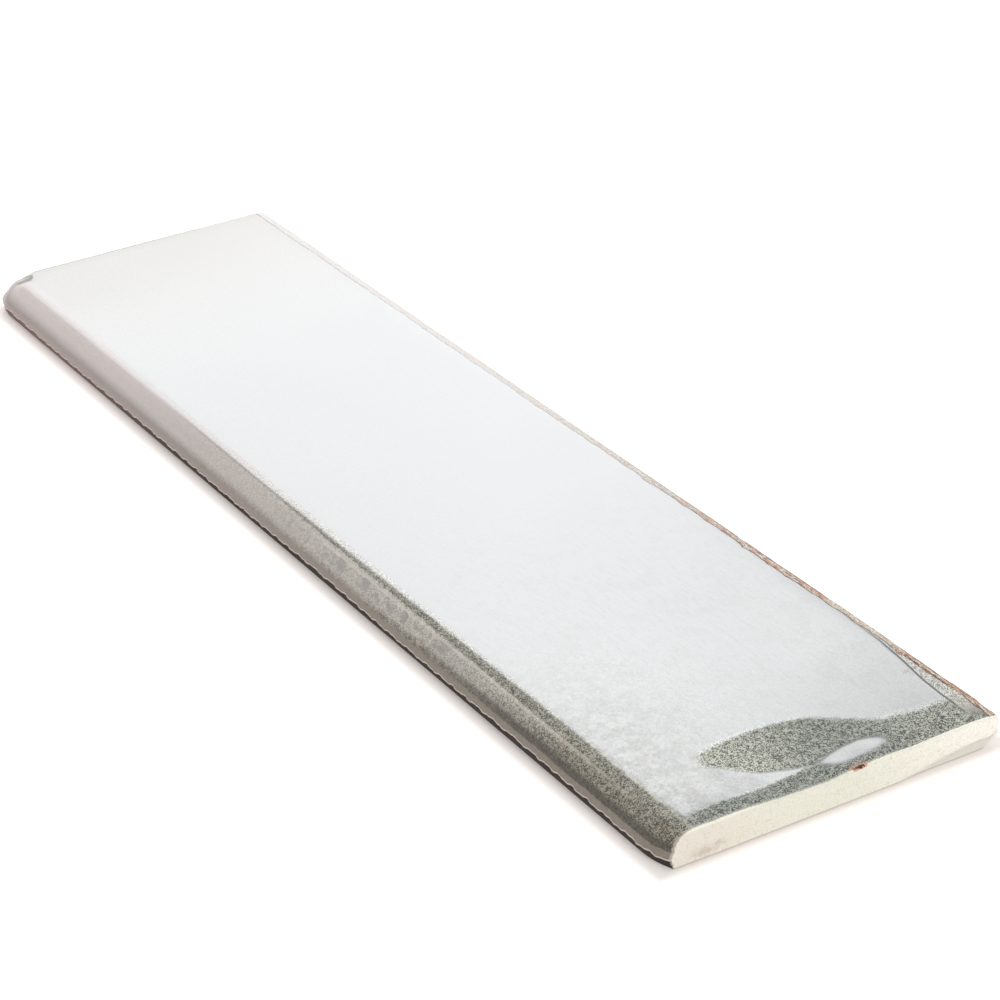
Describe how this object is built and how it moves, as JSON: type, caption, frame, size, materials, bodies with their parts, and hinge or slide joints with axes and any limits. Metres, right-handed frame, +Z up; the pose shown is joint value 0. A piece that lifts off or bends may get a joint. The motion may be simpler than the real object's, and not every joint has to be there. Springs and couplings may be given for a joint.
{
  "type": "bullnose tile",
  "caption": "Glazed ceramic wall tile, long and narrow, with one long edge rounded to a bullnose nose and the other edges square, for finishing the open edge of a tiled field.",
  "frame": {"origin": "middle of the tile's outline at the level of its bed, so the floor it lies on is z = 0", "axes": "+X along the length, +Y across the width towards the square long edge (the bullnose is the long edge on the -Y side), +Z up out of the glazed face"},
  "size_m": [0.3, 0.075, 0.0075],
  "materials": {
    "glazed_body": "glossy crackled grey-green glaze over a bare cream-white fired body"
  },
  "bodies": {
    "root": {"bullnose_tile": "glazed_body"}
  },
  "joints": []
}
